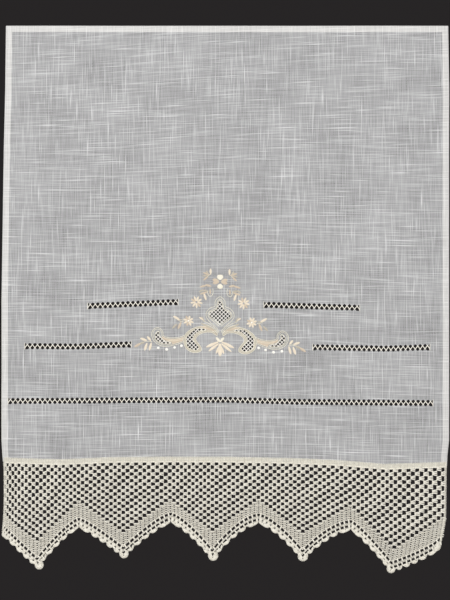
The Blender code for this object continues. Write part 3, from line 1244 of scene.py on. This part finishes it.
for stitches, name, stitch, yarn, seed in (
    (posts, "net_posts", postStitch, creamYarn, 3),
    (chains, "net_chains", chainStitch, creamYarn, 5),
    (ribs, "band_ribs", chainStitch, creamYarn, 7),
    (ties, "band_ties", postStitch, creamYarn, 8),
    (cords, "edge_cords", chainStitch, edgeYarnPaintedShade, 9),
    (fans, "edge_fans", postStitch, edgeYarnPaintedShade, 11),
    (headingStitches, "heading_braids", chainStitch, headingYarnPaintedLight, 13),
    (headingPosts, "heading_posts", postStitch, headingYarnPaintedLight, 15),
):
    crochet = stitches.piece(name, stitch, yarn, seed)
    dressedPiece(crochet, ["lace_border"])
print("crochet ready")


def makeLadders():
    strands, ties = YarnList(), YarnList()
    tie, half = ladders["tieShare"], ladders["tieHalf"]
    for route in ladders["routes"]:
        left, right = route[0][0], route[-1][0]
        upper, lower = ladderNodes(route)

        def strand(start, end):
            # from a tie on the upper side to one on the lower side
            way = math.copysign(1.0, end - start)
            for offset in ladders["strandOffsets"]:
                rows = (
                    (start + 2.2 * offset, -tie - 0.12),
                    (start + offset, -tie),
                    (start + offset + way * 0.5, -tie + 0.08),
                    (end + offset - way * 0.5, tie - 0.08),
                    (end + offset, tie),
                    (end + 2.2 * offset, tie + 0.12),
                )
                rows = [(min(max(x, left), right), 0.0, ladderDepth(route, x, share)) for x, share in rows]
                strands.line(smoothLine(rows, 1.6), ladders["strand"])

        for k, x in enumerate(upper):
            strand(x, lower[k - 1] if k else left)
            strand(x, lower[k] if k < len(lower) else right)
        for nodes, share in ((upper, -tie), (lower, tie)):
            for x in nodes:
                depth = ladderDepth(route, x, share)
                rows = [(x - half, -0.2, depth), (x, -0.42, depth), (x + half, -0.2, depth)]
                ties.line(rows, ladders["tie"])
        for x in (left - 0.1, right + 0.1):
            rows = [(x, -0.1, ladderDepth(route, x, share)) for share in (-0.53, -0.2, 0.2, 0.53)]
            ties.line(rows, ladders["endTie"])
    return [
        dressedPiece(strands.piece("ladder_strands", creamYarn, 6)),
        dressedPiece(ties.piece("ladder_ties", creamYarn, 6)),
    ]


ladderPieces = makeLadders()
print("ladders ready")

embroidery = {
    "cord": 0.72,
    "medallionCord": 0.7,
    "holeCord": 0.8,
    "innerCord": 0.55,
    "strokeCord": 0.75,
    "cordStep": 0.6,
    "cordGap": 1.35,
    "petalRise": 0.75,
    "medallion": (
        (0.0, -3.4), (2.6, -1.8), (4.9, 1.6), (5.3, 6.6), (9.6, 8.4), (13.4, 12.6), (13.8, 17.4),
        (11.0, 21.6), (6.8, 25.2), (2.6, 29.2), (1.2, 32.0),
    ),
    "medallionInner": (
        (0.0, -1.0), (2.2, 0.8), (3.1, 4.6), (3.9, 8.0), (8.0, 10.2), (11.4, 13.2), (11.7, 17.0),
        (8.4, 20.4), (4.4, 23.4), (0.8, 26.4),
    ),
    "scroll": (
        (2.4, 33.6), (8.1, 29.0), (14.0, 27.4), (20.4, 27.6), (27.4, 30.0), (33.4, 34.5), (35.8, 38.9),
        (36.2, 44.5), (34.6, 49.4), (31.1, 52.4), (27.0, 53.9), (22.5, 53.6), (18.8, 51.6), (18.9, 48.4),
        (21.0, 45.4), (23.2, 42.6), (24.2, 40.2), (22.6, 37.2), (18.4, 34.4), (13.0, 32.9), (7.5, 33.2),
        (3.4, 35.8),
    ),
    "curl": (
        (35.9, 37.4), (40.1, 39.2), (44.6, 40.2), (49.7, 40.5), (54.1, 39.9), (56.9, 38.4), (57.1, 35.4),
        (58.9, 32.6), (62.3, 31.0), (65.9, 32.4), (68.0, 35.5), (68.3, 39.6), (66.9, 43.5), (63.9, 46.7),
        (59.2, 48.9), (54.1, 49.5), (48.5, 48.3), (41.2, 46.0), (36.5, 43.6),
    ),
    "curlFill": (
        (36.4, 38.6), (40.1, 40.2), (44.6, 41.1), (49.7, 41.4), (54.5, 40.8), (57.4, 39.4), (58.6, 40.0),
        (57.0, 42.4), (53.5, 43.9), (49.0, 44.4), (47.5, 47.2), (42.0, 45.2), (37.0, 43.0),
    ),
    "strokes": (
        ((1.6, 33.0), (6.0, 27.6), (11.6, 24.0), (17.6, 21.6)),
        ((2.4, 33.6), (7.0, 28.6), (12.0, 26.0), (17.0, 25.0)),
        ((36.6, 41.0), (42.0, 42.6), (48.0, 43.4), (54.0, 43.0)),
        ((7.3, -11.0), (6.9, -7.4), (8.0, -4.2), (10.4, -3.2), (12.1, -5.2), (12.4, -8.6)),
        ((68.0, 45.5), (73.0, 45.2), (79.0, 47.2), (84.0, 50.2)),
        ((36.6, 23.4), (40.0, 23.4), (43.6, 21.2)),
        ((10.0, -25.0), (12.6, -22.6), (15.4, -20.4)),
    ),
    # root and tip of each petal or leaf, its width and floss
    "petals": (
        (0.3, -20.4, 1.9, -25.0, 3.8, "white"), (0.1, -15.8, 1.8, -11.5, 3.6, "white"),
        (1.2, -18.4, 7.4, -20.2, 3.6, "beige"), (1.2, -18.0, 7.2, -16.4, 3.4, "beige"),
        (9.4, -24.8, 9.5, -30.9, 2.3, "cream"), (10.5, -24.6, 17.0, -26.4, 2.0, "beige"),
        (11.0, -24.0, 17.4, -23.0, 1.7, "fill"), (12.0, -23.0, 16.6, -18.8, 2.0, "beige"),
        (11.2, -24.6, 14.0, -28.4, 1.7, "fill"),
        (8.8, -13.2, 14.6, -14.4, 2.4, "beige"), (13.2, -14.0, 20.4, -11.8, 2.0, "beige"),
        (12.6, -8.4, 17.8, -8.8, 1.8, "fill"), (12.6, -7.4, 20.2, -4.8, 2.0, "beige"),
        (16.2, -5.9, 13.9, 0.9, 2.4, "cream"), (9.8, -10.6, 9.9, -5.0, 1.7, "beige"),
        (16.8, -9.6, 21.2, -6.6, 1.7, "fill"),
        (15.8, 21.0, 20.9, 18.4, 1.9, "cream"), (15.2, 22.8, 18.4, 17.4, 1.6, "fill"),
        (40.2, 22.2, 46.8, 18.7, 2.5, "cream"), (38.9, 24.0, 42.0, 31.2, 2.5, "beige"),
        (43.1, 26.3, 47.8, 31.0, 2.3, "fill"), (37.4, 21.6, 42.4, 22.8, 1.4, "fill"),
        (3.4, 31.2, 19.0, 24.2, 2.6, "fill"), (5.6, 31.0, 20.0, 27.2, 2.4, "beige"),
        (0.0, 42.0, 3.9, 37.6, 2.7, "white"), (1.6, 41.9, 13.9, 47.9, 2.9, "cream"),
        (1.3, 43.6, 11.3, 51.7, 2.6, "cream"),
        (69.3, 44.6, 72.9, 40.4, 2.4, "cream"), (73.4, 44.6, 79.8, 42.6, 2.5, "cream"),
        (75.2, 45.9, 80.8, 48.6, 2.2, "fill"), (79.2, 47.6, 85.8, 51.8, 2.6, "beige"),
        (73.0, 47.0, 75.6, 54.6, 2.7, "cream"), (68.7, 46.4, 70.8, 54.2, 2.6, "cream"),
    ),
    "middlePetals": (
        (0.0, 43.6, 0.0, 56.2, 4.6, "cream"), (-0.4, 45.6, -4.0, 53.4, 2.4, "cream"),
        (0.4, 45.6, 3.9, 53.8, 2.4, "cream"), (0.0, -20.0, 0.0, -25.3, 3.6, "white"),
        (0.0, -16.0, 0.0, -11.0, 3.6, "white"),
    ),
    # middle, reach, number of petals, petal width, first angle
    "daisies": ((23.6, 3.4, 6.1, 9, 2.05, 0.2), (31.6, 22.6, 5.3, 8, 2.15, 0.5)),
    "dots": ((38.6, 47.9, 2.9), (45.5, 50.0, 2.9), (53.4, 52.3, 3.1), (61.8, 51.3, 2.9), (31.6, 22.6, 1.9)),
}


def makeFlossMaterial(name, bright, dim):
    # threads lie along U of the UV map "floss", in metres
    material, tree, shader = newMaterial(name, 0.5, 0.4)
    floss = addNode(tree, "ShaderNodeUVMap", uv_map="floss").outputs["UV"]
    thread = noiseNode(tree, stretched(tree, floss, (120.0, 2600.0, 1.0)), 1.0, 2.0)
    color = colorRamp(tree, thread, (0.35, dim), (0.62, bright))
    wire(tree, (color, shader.inputs["Base Color"]))
    bumped(tree, shader, thread, 0.6, 0.0004)
    return material


# floss for each tone, then the yarns of the drawn nets and of the cords
flosses = {
    "white": makeFlossMaterial("whiteFloss", (0.83, 0.78, 0.66), (0.72, 0.67, 0.54)),
    "cream": makeFlossMaterial("creamFloss", (0.80, 0.71, 0.575), (0.64, 0.55, 0.43)),
    "beige": makeFlossMaterial("beigeFloss", (0.60, 0.50, 0.39), (0.50, 0.41, 0.31)),
    "fill": makeFlossMaterial("paleFloss", (0.50, 0.455, 0.375), (0.40, 0.36, 0.29)),
}
netYarn = makeYarnMaterial("netYarn", (0.83, 0.81, 0.77), (0.70, 0.67, 0.62), 0.7, 0.3)
cordYarn = makeYarnMaterial("cordYarn", (0.82, 0.78, 0.66), (0.66, 0.62, 0.50), 0.7, 0.3)
dotYarn = makeYarnMaterial("dotYarn", (0.95, 0.92, 0.86), (0.86, 0.83, 0.77), 0.7, 0.3)

knotStitch = unitStitch("knotStitch", [[
    (-0.5, 0, 0, 0, 0, 0), (-0.34, 0, 0, 0.36, 0.36, 0.0), (0.0, 0, 0, 0.5, 0.5, 0.3),
    (0.34, 0, 0, 0.36, 0.36, 0.6), (0.5, 0, 0, 0, 0, 0),
]], 8)


class FlossPatches:
    # domed patches of satin stitch gathered into one mesh
    def __init__(self):
        self.places, self.faces, self.floss = [], [], []

    def petal(self, root, tip, width, rise):
        root, tip = np.array(root), np.array(tip)
        length = float(np.hypot(*(tip - root)))
        way = (tip - root) / length
        side = np.array((-way[1], way[0]))
        first, rows, cols = len(self.places), 9, 5
        for k in range(rows):
            t = k / (rows - 1)
            half = width / 2.0 * (0.16 + 0.84 * math.sin(math.pi * (0.08 + 0.9 * t) ** 1.25) ** 0.75)
            for n in range(cols):
                s = 2.0 * n / (cols - 1) - 1.0
                spot = root + way * length * t + side * half * s
                up = rise * (1.0 - s * s) ** 0.5 * min(1.0, 4.0 * (1.0 - t) + 0.25, 4.0 * t + 0.35)
                self.places.append((spot[0], -0.12 - up, spot[1]))
                self.floss.append((length * t, half * s))
        for k in range(rows - 1):
            for n in range(cols - 1):
                a = first + k * cols + n
                self.faces.append((a, a + 1, a + cols + 1, a + cols))

    def patch(self, ring, rise, grid, holes=()):
        ring = [tuple(p) for p in ring]
        low, high = np.min(ring, axis=0), np.max(ring, axis=0)
        inner = [
            (x, d) for x in np.arange(low[0] + grid / 2, high[0], grid)
            for d in np.arange(low[1] + grid / 2, high[1], grid)
        ]
        flat, faces = flatCut(ring, holes, [], inner)
        first = len(self.places)
        for spot in flat:
            up = rise * (1.0 - math.exp(-distanceTo(ring, spot) / 1.1))
            self.places.append((spot[0], -0.15 - up, spot[1]))
            self.floss.append(tuple(spot))
        self.faces += [tuple(first + k for k in face) for face in faces]

    def piece(self, name, material):
        return sheetPiece(name, self.places, self.faces, "floss", self.floss, material)


def insideSpans(ring, start, way):
    # where a straight line runs inside a ring, as pairs of distances from start
    ring = np.array(ring)
    marks = []
    for a, b in zip(ring, np.roll(ring, -1, axis=0)):
        step = b - a
        cross = way[0] * step[1] - way[1] * step[0]
        if abs(cross) < 1e-9:
            continue
        gap = a - start
        share = (gap[0] * way[1] - gap[1] * way[0]) / cross
        if 0.0 <= share < 1.0:
            marks.append((gap[0] * step[1] - gap[1] * step[0]) / cross)
    marks.sort()
    return list(zip(marks[::2], marks[1::2]))


def isInside(ring, spot):
    return any(a < 0.0 < b for a, b in insideSpans(ring, np.array(spot), np.array((1.0, 0.0))))


def distanceTo(ring, spot):
    edge = np.vstack((ring, ring[:1]))
    steps = edge[1:] - edge[:-1]
    share = np.clip(((spot - edge[:-1]) * steps).sum(axis=1) / (steps**2).sum(axis=1), 0.0, 1.0)
    return float(np.hypot(*(edge[:-1] + steps * share[:, None] - spot).T).min())


def parallelRuns(ring, gap, hole):
    # a line inside a closed ring at an even distance from it, in the runs where there is room for it
    ring, hole = np.array(ring), np.array(hole)
    rows = smoothLine([*ring, ring[0]], 0.9)[:-1]
    step = np.roll(rows, -1, axis=0) - np.roll(rows, 1, axis=0)
    normal = np.column_stack((-step[:, 1], step[:, 0])) / np.hypot(*step.T)[:, None]
    moved = rows + normal * math.copysign(gap, ringArea(ring))
    runs, run = [], []
    for spot in moved:
        room = distanceTo(rows, spot) > gap - 0.15 and isInside(rows, spot)
        if room and not isInside(hole, spot) and distanceTo(hole, spot) > 1.0:
            run.append(spot)
        else:
            runs.append(run)
            run = []
    return [run for run in [*runs, run] if len(run) > 4]


def layNetting(threads, knots):
    pitch = motif["netPitch"] * motif["unit"]
    lines, cells = motif["netReach"]
    for ring, spot, side in motifHoles:
        middle = np.array(motifPoint(*spot, side))
        for lean in (1.0, -1.0):
            way = np.array((1.0, lean)) / math.sqrt(2.0)
            across = np.array((-way[1], way[0]))
            for n in range(-lines, lines + 1):
                start = middle + across * (2 * n + 1) * pitch / math.sqrt(2.0)
                for low, high in insideSpans(ring, start, way):
                    spots = [start + way * t for t in spaced(low - 0.5, high + 0.5, 1.3)]
                    line = [(x, 0.12 * math.sin(x * 2.0 + lean), depth) for x, depth in spots]
                    threads.line(line, motif["netThread"])
        for i in range(-cells, cells + 1):
            for j in range(-cells, cells + 1):
                x, depth = middle[0] + i * pitch, middle[1] + j * pitch
                if (i + j) % 2 and isInside(ring, (x, depth)):
                    half = motif["netKnot"] / 2.0
                    knots.between((x - half, depth), (x + half, depth), 2.0 * half, -0.4, through=1.2)


def makeMotif():
    netThreads, netKnots, cordLines, dots = YarnList(), StitchList(), YarnList(), StitchList()
    patches = {tone: FlossPatches() for tone in flosses}
    unit = motif["unit"]
    layNetting(netThreads, netKnots)

    def beaded(line, thick):
        beads = 1.0 + 0.14 * np.cos(np.arange(len(line)) * 2.2)
        cordLines.line([(x, -0.35, depth) for x, depth in line], thick * beads)

    def cord(points, side, closed=False, thick=embroidery["cord"]):
        rows = [motifPoint(*p, side) for p in points]
        if closed:
            rows.append(rows[0])
        beaded(smoothLine(rows, embroidery["cordStep"]), thick)

    def petal(row, side):
        x0, y0, x1, y1, width, tone = row
        ends = motifPoint(x0, y0, side), motifPoint(x1, y1, side)
        patches[tone].petal(*ends, width * unit, embroidery["petalRise"])

    for side in (1, -1):
        scroll, scrollHole = motifEdge("scroll", side), motifRing("scrollHole", side)
        curl, curlHole = motifEdge("curl", side), motifRing("curlHole", side)
        patches["fill"].patch(scroll, 0.25, 1.8, [scrollHole])
        patches["beige"].patch(motifEdge("curlFill", side), 0.5, 1.6)
        cord(embroidery["medallion"], side)
        cord(embroidery["medallionInner"], side)
        cord(motif["medallionHole"], side, False, embroidery["medallionCord"])
        cord(embroidery["scroll"], side, True)
        cord(embroidery["curl"], side)
        for name in ("scrollHole", "curlHole"):
            cord(motif[name], side, True, embroidery["holeCord"])
        for ring, hole in ((scroll, scrollHole), (curl, curlHole)):
            for run in parallelRuns(ring, embroidery["cordGap"] * unit, hole):
                beaded(run, embroidery["innerCord"])
        for stroke in embroidery["strokes"]:
            cord(stroke, side, False, embroidery["strokeCord"])
        for row in embroidery["petals"]:
            petal(row, side)
        for number, (x, y, reach, count, width, first) in enumerate(embroidery["daisies"]):
            for k in range(count):
                angle = first + math.tau * k / count
                way = (math.cos(angle), math.sin(angle))
                tone = "cream" if (k * 3 + number + (side > 0)) % 5 < 4 else "beige"
                petal((x + way[0], y + way[1], x + way[0] * reach, y + way[1] * reach, width, tone), side)
        for x, y, wide in embroidery["dots"]:
            x, depth = motifPoint(x, y, side)
            half = wide * unit / 2.0
            dots.between((x - half, depth), (x + half, depth), 2.0 * half, -0.4, through=1.8)
    for row in embroidery["middlePetals"]:
        petal(row, 1)
    pieces = [
        dressedPiece(netThreads.piece("motif_net", netYarn, 6)),
        dressedPiece(netKnots.piece("motif_knots", knotStitch, netYarn, 21, 0.0, 0.05)),
        dressedPiece(cordLines.piece("motif_cords", cordYarn, 5)),
        dressedPiece(dots.piece("motif_dots", knotStitch, dotYarn, 22, 0.0, 0.05)),
    ]
    for tone, floss in flosses.items():
        pieces.append(dressedPiece(patches[tone].piece("motif_" + tone, floss)))
    return pieces


motifPieces = makeMotif()
print("motif ready")
